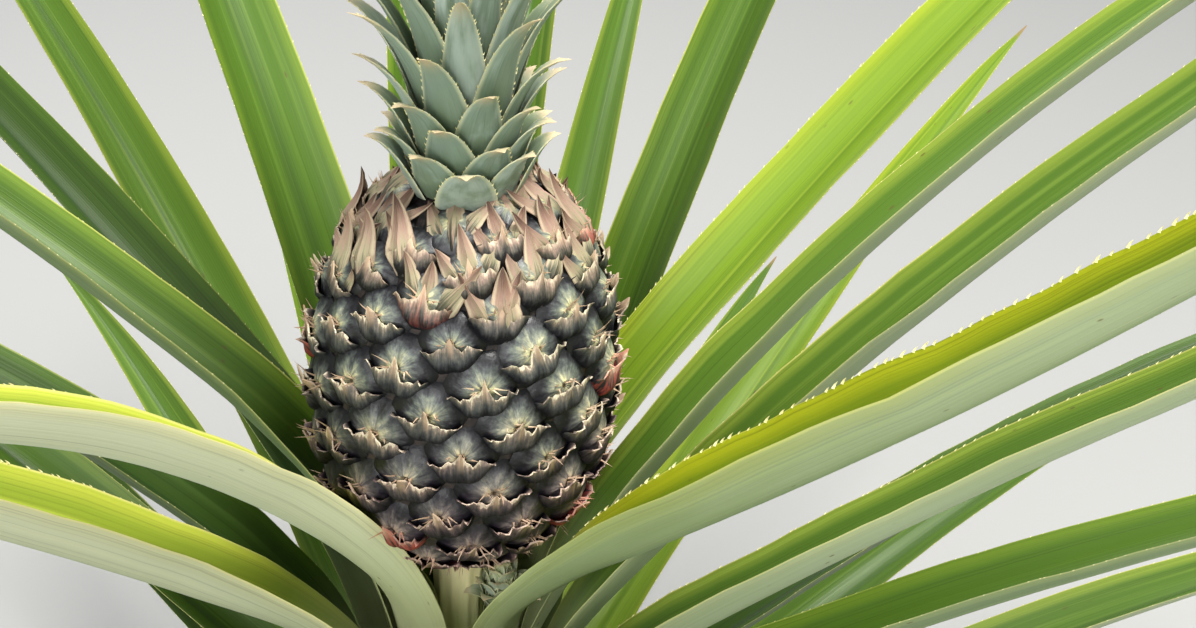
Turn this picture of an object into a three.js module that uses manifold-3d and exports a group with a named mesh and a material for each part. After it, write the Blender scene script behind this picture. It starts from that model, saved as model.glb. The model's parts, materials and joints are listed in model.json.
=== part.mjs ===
import * as THREE from "three";
import { mergeVertices } from "three/addons/utils/BufferGeometryUtils.js";
import Module from "manifold-3d";

// A fruiting pineapple plant: short stem, spiral of gutter leaves, fruit with its crown.
// Millimetres and degrees, +Z up, origin in the middle of the flat cut at ground level.
// The view that the named leaves are described from looks along +Y, with +X to the right.

// Driving dimensions of the stem and the fruit stalk
const lean = 2.8;
const stemHeight = 292;
const stemFootRadius = 44;
const stemRadius = 33;
const stemTopRadius = 21;
const stemFlareHeight = 46;
const stemShoulderHeight = 160;
const stalkRadius = 10.5;
const stalkTopRadius = 15;
const fitGap = 0.3;

// Driving dimensions of the fruit, its crown and the side shoot's bud
const fruitBottom = 345;
const fruitHeight = 161;
const fruitRadius = 60.5;
const crownHeight = 168;
const crownFootRadius = 21;
const crownBladeCount = 40;
const crownBladeThickness = 2.4;
const budRadius = 9.5;
const budHeight = 322;
const budAzimuth = -28;

// Driving dimensions of the leaves. The seat is how far a leaf's keel stands off the stem,
// which its cupped foot needs to clear the stem's round. The clasp is the angle above level
// at which a young leaf leaves the stem, and old leaves lie back from it.
const leafCount = 48;
const spiralStep = 137.5;
const youngestAzimuth = -140;
const lowestLeafHeight = 22;
const highestLeafHeight = 286;
const leafHalfWidth = 24.5;
const leafThickness = 1.9;
const leafSeat = 3.1;
const clasp = 82;
const oldLeafLieBack = 12;
const leafStations = 12;
const frontAzimuth = -92;

// Blades are followed in steps this much finer than their stations, and the stations crowd
// towards the foot by this power.
const stepsPerStation = 8;
const stationCrowding = 1.15;

const wasm = await Module();
wasm.setup();

const radians = THREE.MathUtils.degToRad;
const lerp = THREE.MathUtils.lerp;
const smooth = THREE.MathUtils.smoothstep;

// How far the leaning axis of the plant stands to +X at a height.
function leanAt(z) {
  return z * Math.tan(radians(lean));
}

// A point at a radius and an azimuth from the leaning axis.
function aroundAxis(radius, azimuth, z) {
  const angle = radians(azimuth);
  return new THREE.Vector3(leanAt(z) + radius * Math.cos(angle), radius * Math.sin(angle), z);
}

// An even, repeatable spread of values between -1 and 1 for the natural unevenness.
function uneven(index, salt) {
  const wave = Math.sin(index * 12.9898 + salt * 78.233) * 43758.5453;
  return 2 * (wave - Math.floor(wave)) - 1;
}

// A point moved to the nearest hundredth of a millimetre.
function rounded(point) {
  return point.clone().multiplyScalar(100).round().divideScalar(100);
}

// A closed body through rings of equal vertex count, each ring in order round the body.
// The ends are closed by the faces given, or the far end by a single tip point. Neighbouring
// sides are parted along opposite diagonals, so the two walls of a thin blade run parallel.
function loftRings(rings, endFaces, tip) {
  const sides = rings[0].length;
  const points = rings.flat().map(rounded);
  const faces = endFaces.map(([a, b, c]) => [a, c, b]);
  for (let k = 0; k + 1 < rings.length; k += 1) {
    for (let j = 0; j < sides; j += 1) {
      const a = k * sides + j;
      const b = k * sides + ((j + 1) % sides);
      if (j % 2) {
        faces.push([a, b, a + sides], [b, b + sides, a + sides]);
      } else {
        faces.push([b, b + sides, a], [b + sides, a + sides, a]);
      }
    }
  }
  const last = (rings.length - 1) * sides;
  if (tip) {
    points.push(rounded(tip));
    for (let j = 0; j < sides; j += 1) {
      faces.push([last + j, last + ((j + 1) % sides), points.length - 1]);
    }
  } else {
    endFaces.forEach(([a, b, c]) => faces.push([last + a, last + b, last + c]));
  }
  const geometry = new THREE.BufferGeometry().setFromPoints(points);
  geometry.setIndex(faces.flat());
  return geometry;
}

// Fan of triangles that closes a convex ring.
function fanFaces(sides) {
  return Array.from({ length: sides - 2 }, (_, j) => [0, j + 1, j + 2]);
}

// A body of round sections along the leaning axis, from pairs of height and radius.
function roundBody(profile, sides, unevenness = () => 1) {
  const rings = profile.map(([z, radius], level) =>
    Array.from({ length: sides }, (_, j) =>
      aroundAxis(radius * unevenness(level, j), (j / sides) * 360, z),
    ),
  );
  return loftRings(rings, fanFaces(sides));
}

// Stem radius at a height: root flare, even middle, narrow shoulder under the stalk.
function stemRadiusAt(z) {
  const flare = (stemFootRadius - stemRadius) * (1 - smooth(z, 0, stemFlareHeight));
  const shoulder = (stemRadius - stemTopRadius) * smooth(z, stemShoulderHeight, stemHeight);
  return stemRadius + flare - shoulder;
}

function makeStem() {
  const levels = 14;
  const profile = Array.from({ length: levels + 1 }, (_, k) => {
    const z = (k / levels) * stemHeight;
    return [z, stemRadiusAt(z)];
  });
  return roundBody(profile, 20);
}

// The stalk is even for most of its length and swells into the fruit.
function makeStalk() {
  const bottom = stemHeight + fitGap;
  const top = fruitBottom - fitGap;
  const profile = [0, 0.35, 0.7, 0.88, 1].map((along) => {
    const swell = (stalkTopRadius - stalkRadius) * along ** 4;
    return [lerp(bottom, top, along), stalkRadius + swell];
  });
  return roundBody(profile, 16);
}

// The fruit's barrel: its levels crowd towards the rounded foot and shoulder. The side is a
// superellipse of the distance from the middle, a little wider below than above it.
function makeFruit() {
  const levels = 12;
  const foot = 0.982;
  const shoulder = 0.975;
  const lowerSwell = 0.035;
  const skinUnevenness = 0.012;
  const profile = Array.from({ length: levels + 1 }, (_, k) => {
    const off = Math.cos(lerp(Math.acos(foot), Math.PI - Math.acos(shoulder), k / levels));
    const z = fruitBottom + (fruitHeight * (foot - off)) / (foot + shoulder);
    const side = (1 - Math.abs(off) ** 2.4) ** 0.38;
    return [z, fruitRadius * side * (1 + lowerSwell * off)];
  });
  return roundBody(profile, 26, (level, j) => 1 + skinUnevenness * uneven(level * 31 + j, 5));
}

// Faces that close the end of a gutter blade.
const bladeEnd = [[0, 1, 3], [1, 2, 3]];

// One station of a gutter blade: left margin, outer keel, right margin, inner keel.
function bladeRing(keel, side, inward, halfWidth, fold, thickness) {
  const across = side.clone().multiplyScalar(halfWidth * Math.cos(fold));
  const up = inward.clone().multiplyScalar(halfWidth * Math.sin(fold) + thickness * 0.5);
  return [
    keel.clone().add(up).sub(across),
    keel.clone(),
    keel.clone().add(up).add(across),
    keel.clone().addScaledVector(inward, thickness),
  ];
}

// Stations and tip of a blade that leaves its root almost upright, bends out and droops.
// rise, halfWidth and fold are read at shares of its length, from the root (0) to the tip (1).
function bladeStations({ root, azimuth, drift, length, rise, halfWidth, fold, roll, thickness, stations }) {
  const keel = root.clone();
  const rings = [];
  const steps = stations * stepsPerStation;
  for (let k = 0; k < steps; k += 1) {
    const share = (k / steps) ** stationCrowding;
    const nextShare = ((k + 1) / steps) ** stationCrowding;
    const heading = radians(azimuth + drift * share ** 2);
    const slope = radians(rise(share));
    const out = new THREE.Vector3(Math.cos(heading), Math.sin(heading), 0);
    const along = out.clone().multiplyScalar(Math.cos(slope)).setZ(Math.sin(slope));
    if (k % stepsPerStation === 0) {
      const side = new THREE.Vector3(-out.y, out.x, 0).applyAxisAngle(along, radians(roll) * share);
      const inward = along.clone().cross(side);
      rings.push(bladeRing(keel, side, inward, halfWidth(share), radians(fold(share)), thickness));
    }
    keel.addScaledVector(along, (nextShare - share) * length);
  }
  return { rings, tip: keel };
}

function makeBlade(shape) {
  const { rings, tip } = bladeStations(shape);
  return loftRings(rings, bladeEnd, tip);
}

// A blade that bends round a wide gap, parted at one of its stations into foot and point.
function makePartedBlade(shape, partStation) {
  const { rings, tip } = bladeStations(shape);
  const pointStart = rings[partStation].map((corner, j) => {
    const next = rings[partStation + 1][j];
    return corner.clone().lerp(next, fitGap / corner.distanceTo(next));
  });
  return [
    loftRings(rings.slice(0, partStation + 1), bladeEnd),
    loftRings([pointStart, ...rings.slice(partStation + 1)], bladeEnd, tip),
  ];
}

// The leaves that the view picks out, by their place in the spiral, oldest first.
// turn moves a leaf round from its spiral place, spread is its angle above level past the
// sheath, sheath the length over which it bends out, droop its further fall at the point,
// roll its twist at the point, fold how far its halves stand up from flat, width how much
// broader than usual it grows, and partStation the station where it is parted.
const namedLeaves = new Map([
  // front left, arching low past the fruit's foot
  [47, { turn: 8, spread: 56, sheath: 36, droop: 95, roll: 18, fold: 54, length: 640, partStation: 7 }],
  // left, straight, crossing under the arching one
  [39, { turn: 11, spread: 41, sheath: 46, droop: 18, roll: -5, fold: 56, length: 690, width: 1.3 }],
  // left, straight out beside the fruit
  [44, { turn: 0, spread: 42, sheath: 82, droop: 28, roll: 10, fold: 48, length: 690 }],
  // left, broad and dark, under the former
  [31, { turn: 2, spread: 46, sheath: 112, droop: 36, roll: 0, fold: 40, length: 730 }],
  // far left, rising behind
  [36, { turn: -3, spread: 38, sheath: 92, droop: 20, roll: 6, fold: 44, length: 730 }],
  // upright behind the left shoulder of the fruit
  [41, { turn: 12, spread: 63.5, sheath: 68, droop: 22, roll: 4, fold: 30.5, length: 640 }],
  // broad and upright behind the right shoulder
  [30, { turn: 0, spread: 70, sheath: 60, droop: 38, roll: 12, fold: 38, length: 740 }],
  // long channel rising to the right, its hollow side to the view
  [43, { turn: -5, spread: 47, sheath: 78, droop: 22, roll: 25.5, fold: 38, length: 700 }],
  // silvery, steep, right
  [40, { turn: 21, spread: 59, sheath: 48, droop: 46, roll: -5, fold: 36, length: 740 }],
  // silvery, right, below the former
  [35, { turn: -24, spread: 56, sheath: 56, droop: 24, roll: 20, fold: 40, length: 740 }],
  // the broad spiny one that sweeps out under the fruit to the right
  [45, { turn: 14, spread: 40, sheath: 44, droop: -14, roll: 22, fold: 54, length: 690, width: 1.3 }],
  // close under the former
  [32, { turn: 6, spread: 48, sheath: 54, droop: 10, roll: 10, fold: 40, length: 700 }],
  // behind the fruit, clear of its side
  [46, { turn: -2, spread: 54, sheath: 36, droop: 38, roll: -9, fold: 47, length: 660 }],
  // low front right
  [37, { turn: 10, spread: 46, sheath: 40, droop: 60, roll: -5, fold: 44, length: 640 }],
]);

// Usual leaves that stand further round, in degrees, to clear their neighbours.
const asideTurns = new Map([[33, 2], [34, 3], [38, 23], [42, 8]]);

// Leaves on the front side lie lower, so that the fruit is open to view.
function frontDip(azimuth) {
  const deepest = 30;
  const reach = 34;
  const away = THREE.MathUtils.euclideanModulo(azimuth - frontAzimuth + 180, 360) - 180;
  return deepest * Math.exp(-((away / reach) ** 2));
}

function leafAge(index) {
  return index / (leafCount - 1);
}

function spiralAzimuth(place) {
  return youngestAzimuth + spiralStep * (place - leafCount + 1);
}

// Old leaves are shorter and lie lower; the longest grow three quarters of the way up.
function usualLeaf(index) {
  const age = leafAge(index);
  const dip = frontDip(spiralAzimuth(index)) * smooth(age, 0.3, 0.8);
  return {
    turn: 4 * uneven(index, 2) + (asideTurns.get(index) ?? 0),
    spread: lerp(12, 56, age ** 0.85) + 4 * uneven(index, 1) - dip,
    sheath: lerp(60, 37, age) + 4 * uneven(index, 3),
    droop: lerp(16, 36, age) + 7 * uneven(index, 4),
    length: lerp(520, 700, Math.sin(age * 2.1)) + 30 * uneven(index, 6),
    roll: 10 * uneven(index, 7),
    fold: 44 + 5 * uneven(index, 9),
  };
}

// The blade stands at its clasp by the root and settles to its spread over the sheath. It is
// flatter and narrower where it clasps the stem, full width soon after, and tapers to a point.
function leafBlade(index) {
  const footWidth = 0.7;
  const footFold = 18;
  const age = leafAge(index);
  const shape = namedLeaves.get(index) ?? usualLeaf(index);
  const rootHeight = lerp(lowestLeafHeight, highestLeafHeight, age);
  const rootRadius = stemRadiusAt(rootHeight) + fitGap + leafSeat;
  const azimuth = spiralAzimuth(index) + shape.turn;
  const upright = clasp - oldLeafLieBack * (1 - smooth(age, 0, 0.6));
  return {
    root: aroundAxis(rootRadius, azimuth, rootHeight),
    azimuth,
    drift: 5 * uneven(index, 8),
    length: shape.length,
    rise: (share) => {
      const settled = 1 - Math.exp(-(((share * shape.length) / shape.sheath) ** 2));
      return lerp(upright, shape.spread, settled) - shape.droop * share ** 1.5;
    },
    halfWidth: (share) => {
      const clasping = lerp(footWidth, 1, smooth(share, 0, 0.14));
      const wide = lerp(clasping, shape.width ?? 1, smooth(share, 0.1, 0.3));
      return leafHalfWidth * wide * (1 - share ** 2.4);
    },
    fold: (share) => lerp(footFold, shape.fold, smooth(share, 0, 0.24)),
    roll: shape.roll,
    thickness: leafThickness,
    stations: leafStations,
    partStation: shape.partStation,
  };
}

// Leafy bracts that clasp the fruit stalk. They go on in the leaves' spiral, and the places
// at the front are bare, so that the stalk shows.
const bractPlaces = [
  { place: 48, turn: 24, root: 302, length: 46 },
  { place: 49, turn: 0, root: 304, length: 44 },
  { place: 51, turn: 26, root: 308, length: 42 },
  { place: 52, turn: 0, root: 310, length: 40 },
];

function makeBract({ place, turn, root, length }) {
  const halfWidth = 8.5;
  const thickness = 1.5;
  const seat = 3;
  const endRise = 18;
  const azimuth = spiralAzimuth(place) + turn;
  return makeBlade({
    root: aroundAxis(stalkRadius + fitGap + seat, azimuth, root),
    azimuth,
    drift: 0,
    length,
    rise: (share) => lerp(clasp, endRise, smooth(share, 0.1, 0.9)),
    halfWidth: (share) => halfWidth * (1 - share ** 1.8),
    fold: () => 30,
    roll: 0,
    thickness,
    stations: 6,
  });
}

// A three.js geometry as a solid for joining and cutting.
function solidOf(geometry) {
  const bare = mergeVertices(geometry.deleteAttribute("normal").deleteAttribute("uv"), 1e-4);
  return new wasm.Manifold(
    new wasm.Mesh({
      numProp: 3,
      vertProperties: new Float32Array(bare.attributes.position.array),
      triVerts: new Uint32Array(bare.index.array),
    }),
  );
}

function geometryOf(solid) {
  const { vertProperties, triVerts } = solid.getMesh();
  const geometry = new THREE.BufferGeometry();
  geometry.setAttribute("position", new THREE.BufferAttribute(new Float32Array(vertProperties), 3));
  geometry.setIndex(new THREE.BufferAttribute(new Uint32Array(triVerts), 1));
  return geometry;
}

// The outer skin of a joined body, with the pockets between its blades filled.
function largestOf(solid) {
  return solid.decompose().reduce((most, part) => (part.volume() > most.volume() ? part : most));
}

// The slim core that carries the crown's blades, a little over half the crown's height.
function makeCrownCore(foot) {
  const coreTopRadius = 2;
  const profile = [0, 0.1, 0.4, 0.75, 1].map((along) => {
    const radius = crownFootRadius * (1 - along) ** 0.7 + coreTopRadius;
    return [foot + along * crownHeight * 0.55, radius];
  });
  return roundBody(profile, 14);
}

// One crown blade. The low ones are short, broad and recurved, the high ones are longer,
// narrower and more upright.
function makeCrownBlade(place, foot) {
  const age = place / (crownBladeCount - 1);
  const height = foot + 2 + age ** 1.1 * crownHeight * 0.43;
  const radius = crownFootRadius * (1 - age) ** 0.7 * 0.86 + 0.5;
  const footRise = lerp(56, 86, age);
  const tipRise = lerp(0, 80, age ** 0.6);
  const azimuth = spiralStep * place;
  return makeBlade({
    root: aroundAxis(radius, azimuth, height),
    azimuth,
    drift: 0,
    length: lerp(34, 104, smooth(age, 0.1, 0.8)),
    rise: (share) => lerp(footRise, tipRise, share ** 1.2),
    halfWidth: (share) => lerp(13, 8.5, age) * (1 - share ** lerp(1.4, 2.2, age)),
    fold: () => 24,
    roll: 0,
    thickness: crownBladeThickness,
    stations: 3,
  });
}

function makeCrown() {
  const foot = fruitBottom + fruitHeight + fitGap;
  let crown = solidOf(makeCrownCore(foot));
  for (let place = 0; place < crownBladeCount; place += 1) {
    crown = crown.add(solidOf(makeCrownBlade(place, foot)));
  }
  return geometryOf(largestOf(crown));
}

// Bud of a young side shoot, a little taller than wide, seated against the stalk.
function makeSlip() {
  const centre = aroundAxis(stalkRadius + budRadius + fitGap * 3, budAzimuth, budHeight);
  const bud = new THREE.SphereGeometry(budRadius, 14, 9);
  bud.scale(1, 1, 1.35);
  bud.translate(centre.x, centre.y, centre.z);
  return bud;
}

function mesh(name, geometry, color, roughness) {
  const material = new THREE.MeshStandardMaterial({ color, roughness, metalness: 0, flatShading: true });
  const made = new THREE.Mesh(geometry, material);
  made.name = name;
  return made;
}

function addLeaf(plant, index) {
  const name = `leaf_${String(index + 1).padStart(2, "0")}`;
  const color = index % 3 ? 0x6f8f3a : 0x8fa37f;
  const { partStation, ...blade } = leafBlade(index);
  if (partStation) {
    const [foot, point] = makePartedBlade(blade, partStation);
    plant.add(mesh(name, foot, color, 0.45), mesh(`${name}_point`, point, color, 0.45));
  } else {
    plant.add(mesh(name, makeBlade(blade), color, 0.45));
  }
}

const plant = new THREE.Group();
plant.add(mesh("stem", makeStem(), 0x6f5f45, 0.85));
plant.add(mesh("fruit_stalk", makeStalk(), 0xd9cf9a, 0.6));
plant.add(mesh("fruit", makeFruit(), 0x6d6a5c, 0.55));
plant.add(mesh("crown", makeCrown(), 0x8ea58c, 0.5));
plant.add(mesh("slip", makeSlip(), 0x77876a, 0.55));
bractPlaces.forEach((bract, order) => {
  plant.add(mesh(`bract_${order + 1}`, makeBract(bract), 0x8f9a4a, 0.5));
});
for (let index = 0; index < leafCount; index += 1) {
  addLeaf(plant, index);
}

export default plant;
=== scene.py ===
import json
import math
import random
from bisect import bisect_right

import bmesh
import bpy
from mathutils import Matrix, Vector, noise

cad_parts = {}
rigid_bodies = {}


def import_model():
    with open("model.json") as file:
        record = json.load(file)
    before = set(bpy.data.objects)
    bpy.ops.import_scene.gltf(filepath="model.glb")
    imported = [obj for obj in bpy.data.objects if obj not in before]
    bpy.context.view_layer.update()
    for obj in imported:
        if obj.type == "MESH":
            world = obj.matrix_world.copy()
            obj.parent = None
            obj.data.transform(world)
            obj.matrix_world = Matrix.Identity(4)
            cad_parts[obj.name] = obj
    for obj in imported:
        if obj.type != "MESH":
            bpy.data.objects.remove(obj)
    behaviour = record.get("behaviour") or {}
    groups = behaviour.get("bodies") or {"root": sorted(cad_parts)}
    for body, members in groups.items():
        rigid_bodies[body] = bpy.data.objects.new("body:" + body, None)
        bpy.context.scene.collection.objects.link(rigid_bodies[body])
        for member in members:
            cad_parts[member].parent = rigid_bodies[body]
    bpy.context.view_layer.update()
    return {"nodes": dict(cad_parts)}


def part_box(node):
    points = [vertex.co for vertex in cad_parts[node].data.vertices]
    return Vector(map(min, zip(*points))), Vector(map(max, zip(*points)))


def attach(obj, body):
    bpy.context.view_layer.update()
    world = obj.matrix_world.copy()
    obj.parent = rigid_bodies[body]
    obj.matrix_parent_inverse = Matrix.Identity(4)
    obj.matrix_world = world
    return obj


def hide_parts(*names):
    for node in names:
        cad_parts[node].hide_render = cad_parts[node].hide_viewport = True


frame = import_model()
nodes = frame["nodes"]
scene = bpy.context.scene
print("frame loaded:", len(nodes), "nodes")

fullTurn = 2 * math.pi
goldenTurn = math.radians(137.508)
upward = Vector((0, 0, 1))
fruitLow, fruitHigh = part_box("fruit")
fruitRadius = (fruitHigh.y - fruitLow.y) / 2
leanSlope = (fruitLow.x + fruitHigh.x) / (fruitLow.z + fruitHigh.z)


def onAxis(z):
    # the point of the plant's leaning axis at a height
    return Vector((leanSlope * z, 0, z))


def waysAt(azimuth):
    # the ways outward and sideways at a turn round the axis
    return (Vector((math.cos(azimuth), math.sin(azimuth), 0)),
            Vector((-math.sin(azimuth), math.cos(azimuth), 0)))


def ease(value, low, high):
    # rises smoothly from 0 at low to 1 at high
    t = min(max((value - low) / (high - low), 0), 1)
    return t * t * (3 - 2 * t)


def bell(away, width):
    # 1 in the middle, falling to nearly 0 two widths away
    return math.exp(-((away / width) ** 2))


def between(a, b, share):
    return a + (b - a) * share


class Wire:
    # a socket that takes part in sums like a number, each sum adding a Math node
    def __init__(self, net, socket):
        self.net, self.socket = net, socket

    def __add__(self, other):
        return self.net.maths("ADD", self, other)

    def __sub__(self, other):
        return self.net.maths("SUBTRACT", self, other)

    def __rsub__(self, other):
        return self.net.maths("SUBTRACT", other, self)

    def __mul__(self, other):
        return self.net.maths("MULTIPLY", self, other)

    def __truediv__(self, other):
        return self.net.maths("DIVIDE", self, other)

    def __pow__(self, other):
        return self.net.maths("POWER", self, other)

    __radd__, __rmul__ = __add__, __mul__

    def size(self):
        return self.net.maths("ABSOLUTE", self)

    def within(self, low, high):
        # 0 below low, 1 above high, smooth between
        return self.net.wire("ShaderNodeMapRange", {"Value": self, "From Min": low, "From Max": high},
                             interpolation_type="SMOOTHSTEP")


class Net:
    # adds nodes to one tree
    def __init__(self, tree):
        self.tree = tree

    def node(self, kind, values=None, **settings):
        made = self.tree.nodes.new(kind)
        for name, value in settings.items():
            setattr(made, name, value)
        for slot, value in (values or {}).items():
            self.plug(value, made.inputs[slot])
        return made

    def wire(self, kind, values=None, out=0, **settings):
        return Wire(self, self.node(kind, values, **settings).outputs[out])

    def plug(self, value, slot):
        if isinstance(value, Wire):
            self.tree.links.new(value.socket, slot)
        else:
            slot.default_value = (*value, 1) if slot.type == "RGBA" else value

    def maths(self, operation, *parts):
        return self.wire("ShaderNodeMath", dict(enumerate(parts)), operation=operation)

    def vector(self, x=0.0, y=0.0, z=0.0):
        return self.wire("ShaderNodeCombineXYZ", {0: x, 1: y, 2: z})

    def split(self, place):
        return [Wire(self, part) for part in self.node("ShaderNodeSeparateXYZ", {0: place}).outputs]

    def scaled(self, vector, factor):
        return self.wire("ShaderNodeVectorMath", {0: vector, "Scale": factor}, operation="SCALE")

    def chance(self, low, high, seed):
        return self.wire("FunctionNodeRandomValue", {2: low, 3: high, "Seed": seed}, 1, data_type="FLOAT")

    def mark(self, name):
        return self.wire("ShaderNodeAttribute", out=2, attribute_name=name)

    def leafMap(self):
        # the place across a piece and along it
        return self.split(self.wire("ShaderNodeUVMap", uv_map="leafMap"))[:2]

    def objectPlace(self):
        return self.wire("ShaderNodeTexCoord", out=3)

    def cloud(self, place, detail=3.0, roughness=0.5, scale=1.0):
        # soft noise about a half, at one vector or at three wires
        where = place if isinstance(place, Wire) else self.vector(*place)
        return self.wire("ShaderNodeTexNoise",
                         {"Vector": where, "Scale": scale, "Detail": detail, "Roughness": roughness})

    def blend(self, factor, first, second):
        return self.wire("ShaderNodeMix", {0: factor, 6: first, 7: second}, 2, data_type="RGBA")

    def paint(self, colour, *layers):
        # lays tints over a colour, each where its own factor says
        for factor, tint in layers:
            colour = self.blend(factor, colour, tint)
        return colour

    def ramp(self, factor, *stops):
        # each stop is a place followed by its colour
        made = self.node("ShaderNodeValToRGB", {0: factor})
        elements = made.color_ramp.elements
        while len(elements) < len(stops):
            elements.new(1)
        for element, (place, *colour) in zip(elements, stops):
            element.position = place
            element.color = (*colour, 1)
        return Wire(self, made.outputs[0])

    def curve(self, bends, share):
        made = self.node("ShaderNodeFloatCurve", {"Value": share})
        points = made.mapping.curves[0].points
        while len(points) < len(bends):
            points.new(0.5, 0.5)
        for point, place in zip(points, bends):
            point.location = place
        made.mapping.update()
        return Wire(self, made.outputs[0])


def newObject(name, data):
    made = bpy.data.objects.new(name, data)
    scene.collection.objects.link(made)
    return made


def newSkin(name, **fixed):
    # a material with one Principled shader, its constants given by their sockets' names
    skin = bpy.data.materials.new(name)
    skin.use_nodes = True
    skin.node_tree.nodes.clear()
    net = Net(skin.node_tree)
    values = {key.replace("_", " "): value for key, value in fixed.items()}
    coat = net.node("ShaderNodeBsdfPrincipled", values)
    net.node("ShaderNodeOutputMaterial", {0: Wire(net, coat.outputs[0])})
    return skin, net, coat


def dressSkin(net, coat, colour, height, strength, distance):
    # gives the shader its colour and its relief
    relief = {"Strength": strength, "Distance": distance, "Height": height}
    net.plug(colour, coat.inputs["Base Color"])
    net.plug(net.wire("ShaderNodeBump", relief), coat.inputs["Normal"])


def plainSkin(name, colour, other, roughness, scale, strength=0.3, distance=0.0005):
    # two colours in soft patches, for what is too small to carry a pattern of its own
    skin, net, coat = newSkin(name, Roughness=roughness)
    patch = net.cloud(net.objectPlace(), scale=scale)
    mixed = net.blend((patch - 0.5).within(-0.12, 0.12), colour, other)
    dressSkin(net, coat, mixed, patch, strength, distance)
    return skin


# Leaf skins. Each tone has an inner (upper) and an outer (under) side, and every side its
# colours from the keel to the margin: keel, blade, band beside the margin, margin.
leafTones = {
    "silver": {
        "inner": [(0.05, 0.11, 0.012), (0.08, 0.16, 0.015), (0.20, 0.28, 0.03), (0.58, 0.55, 0.16)],
        "outer": [(0.24, 0.31, 0.17), (0.33, 0.40, 0.22), (0.40, 0.45, 0.22), (0.62, 0.60, 0.24)],
        "bloom": 0.75,
    },
    # painted light: a sunlit copy of the leaf colours, pale and warm, its outer keel raised further to lift
    # the shade near the foot
    "sunlit_cream": {
        "inner": [(0.12, 0.20, 0.02), (0.26, 0.34, 0.03), (0.42, 0.47, 0.05), (0.66, 0.62, 0.20)],
        "outer": [(0.60, 0.63, 0.46), (0.64, 0.65, 0.45), (0.64, 0.62, 0.37), (0.74, 0.67, 0.30)],
        "bloom": 0.4,
    },
    "spiny": {
        "inner": [(0.10, 0.18, 0.004), (0.21, 0.29, 0.005), (0.42, 0.45, 0.008), (0.68, 0.64, 0.10)],
        "outer": [(0.25, 0.33, 0.17), (0.34, 0.41, 0.21), (0.40, 0.45, 0.18), (0.62, 0.62, 0.20)],
        "bloom": 0.7,
    },
    "green": {
        "inner": [(0.04, 0.09, 0.008), (0.065, 0.135, 0.01), (0.12, 0.20, 0.014), (0.45, 0.47, 0.10)],
        "outer": [(0.10, 0.17, 0.05), (0.15, 0.23, 0.08), (0.24, 0.31, 0.10), (0.50, 0.50, 0.18)],
        "bloom": 0.45,
    },
    "dark": {
        "inner": [(0.02, 0.05, 0.006), (0.035, 0.075, 0.008), (0.06, 0.12, 0.012), (0.32, 0.36, 0.08)],
        "outer": [(0.06, 0.11, 0.035), (0.09, 0.15, 0.05), (0.16, 0.22, 0.08), (0.42, 0.44, 0.16)],
        "bloom": 0.35,
    },
    "bright": {
        "inner": [(0.10, 0.18, 0.012), (0.16, 0.26, 0.015), (0.28, 0.36, 0.02), (0.60, 0.60, 0.14)],
        "outer": [(0.16, 0.24, 0.07), (0.24, 0.31, 0.11), (0.34, 0.40, 0.14), (0.60, 0.58, 0.20)],
        "bloom": 0.5,
    },
}
leafTints = {
    "bloom": (0.44, 0.50, 0.36),  # wax on the outer side, rubbed off in streaks and patches
    # pale leaf foot: partly the leaf's own colour, partly painted light raised against the shade at the leaf
    # bases
    "foot": (0.62, 0.64, 0.40),
    "speck": (0.10, 0.07, 0.02),
    "dryTip": (0.28, 0.19, 0.08),
    "gloss": {"inner": 0.42, "outer": 0.55},
}


def leafSkin(tone, side):
    look, tints = leafTones[tone], leafTints
    keel, blade, band, margin = look[side]
    skin, net, coat = newSkin(f"leaf_{tone}_{side}", Specular_IOR_Level=0.28, Sheen_Weight=0.03)
    across, share = net.leafMap()
    metres = share * net.mark("leafLength")
    chance = net.mark("leafChance")
    fromKeel = (across - 0.5).size() * 2
    fine = net.cloud((across * 70, metres * 3.5, chance * 40), 2.0)
    broad = net.cloud((across * 13, metres * 2.2, chance * 40 + 7))
    patchy = net.cloud((across * 2.5, metres * 9, chance * 40 + 19), 4.0, 0.6)
    colour = net.ramp(fromKeel + (broad - 0.5) * 0.10, (0.0, *keel), (0.22, *blade), (0.74, *blade),
                      (0.90, *band), (0.975, *band), (1.0, *margin))
    dusk = tuple(part * 0.42 for part in blade)
    glow = tuple(min(part * 1.4 + 0.02, 0.8) for part in band)
    colour = net.paint(colour, ((fine - 0.52).within(0.0, 0.22) * 0.45, dusk),
                       ((broad - 0.5).within(0.02, 0.26) * 0.32, glow))
    if side == "outer":
        worn = (patchy * 0.7 + fine * 0.3).within(0.36, 0.62)
        colour = net.blend(worn * (look["bloom"] * 0.42), colour, tints["bloom"])
    # the pale foot, partly the leaf's own colour and partly painted light lifting the shade there
    foot = 1 - share.within(0.03, 0.17)
    spots = net.wire("ShaderNodeTexVoronoi",
                     {"Vector": net.vector(across * 9, metres * 60, chance * 9), "Scale": 1.0})
    speck = (1 - spots.within(0.05, 0.12)) * (patchy - 0.5).within(0.02, 0.1)
    dry = (share + (broad - 0.5) * 0.05).within(0.955, 0.985)
    colour = net.paint(colour, (foot * 0.6, tints["foot"]), (speck * 0.8, tints["speck"]),
                       (dry, tints["dryTip"]))
    net.plug(tints["gloss"][side] + (patchy - 0.5) * 0.25, coat.inputs["Roughness"])
    dressSkin(net, coat, colour, fine * 0.6 + broad * 0.8, 0.35, 0.0006)
    return skin


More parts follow.
